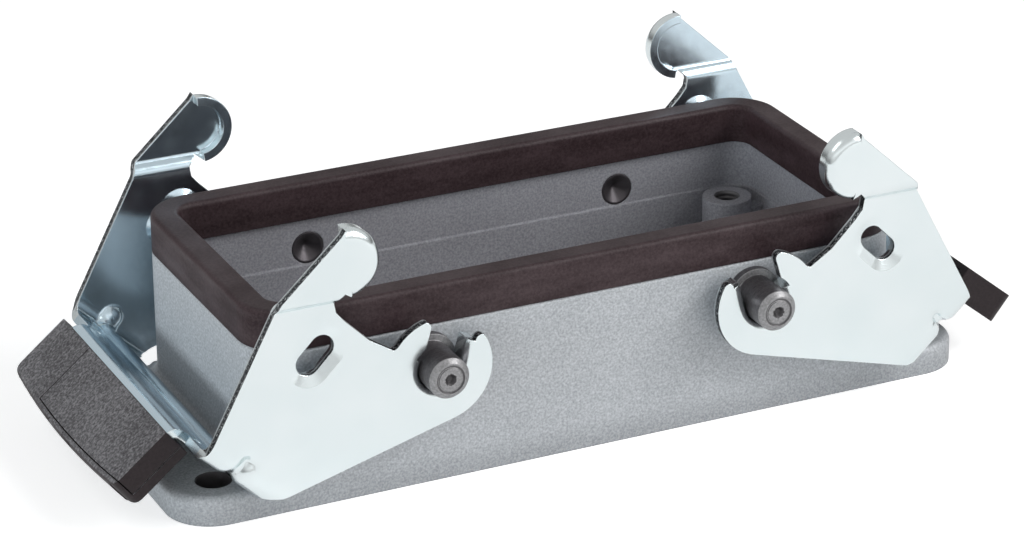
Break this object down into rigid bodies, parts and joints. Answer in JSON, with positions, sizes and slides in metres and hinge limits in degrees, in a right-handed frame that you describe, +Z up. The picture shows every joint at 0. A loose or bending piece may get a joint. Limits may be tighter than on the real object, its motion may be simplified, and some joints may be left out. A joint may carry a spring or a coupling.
{
  "type": "heavy duty rectangular connector housing base, panel mount, with two locking levers",
  "caption": "Panel-mount base housing of a heavy duty rectangular connector: open metal shell on a bolt-down flange, rubber rim seal and hinged locking levers with plastic grips.",
  "frame": {"origin": "centre of the flange's underside, where the part sits on its panel", "axes": "+X along the length of the flange, +Y across the width to the back, +Z up out of the panel towards the open rim"},
  "size_m": [0.1336, 0.0582, 0.04],
  "materials": {
    "cast_housing": "fine grained grey powder coat on a die casting",
    "seal_rubber": "smooth black rubber",
    "pin_steel": "dull turned steel",
    "lever_sheet": "bright plated sheet steel",
    "grip_plastic": "moulded charcoal plastic",
    "cover_plastic": "fine textured charcoal plastic"
  },
  "bodies": {
    "base": {"housing": "cast_housing", "rim_gasket": "seal_rubber", "flange_seal": "seal_rubber", "pin_front_left": "pin_steel", "pin_front_right": "pin_steel", "pin_back_left": "pin_steel", "pin_back_right": "pin_steel"},
    "lever_left": {"lever_bracket_left": "lever_sheet", "grip_body_left": "grip_plastic", "grip_cover_left": "cover_plastic"},
    "lever_right": {"lever_bracket_right": "lever_sheet", "grip_body_right": "grip_plastic", "grip_cover_right": "cover_plastic"}
  },
  "joints": [
    {"name": "lever_left_hinge", "type": "hinge", "parent": "base", "child": "lever_left", "pos_m": [-0.0237, 0, 0.0178], "axis": [0, 1, 0], "range_deg": [0, 47]},
    {"name": "lever_right_hinge", "type": "hinge", "parent": "base", "child": "lever_right", "pos_m": [0.0237, 0, 0.0178], "axis": [0, -1, 0], "range_deg": [0, 47]}
  ]
}
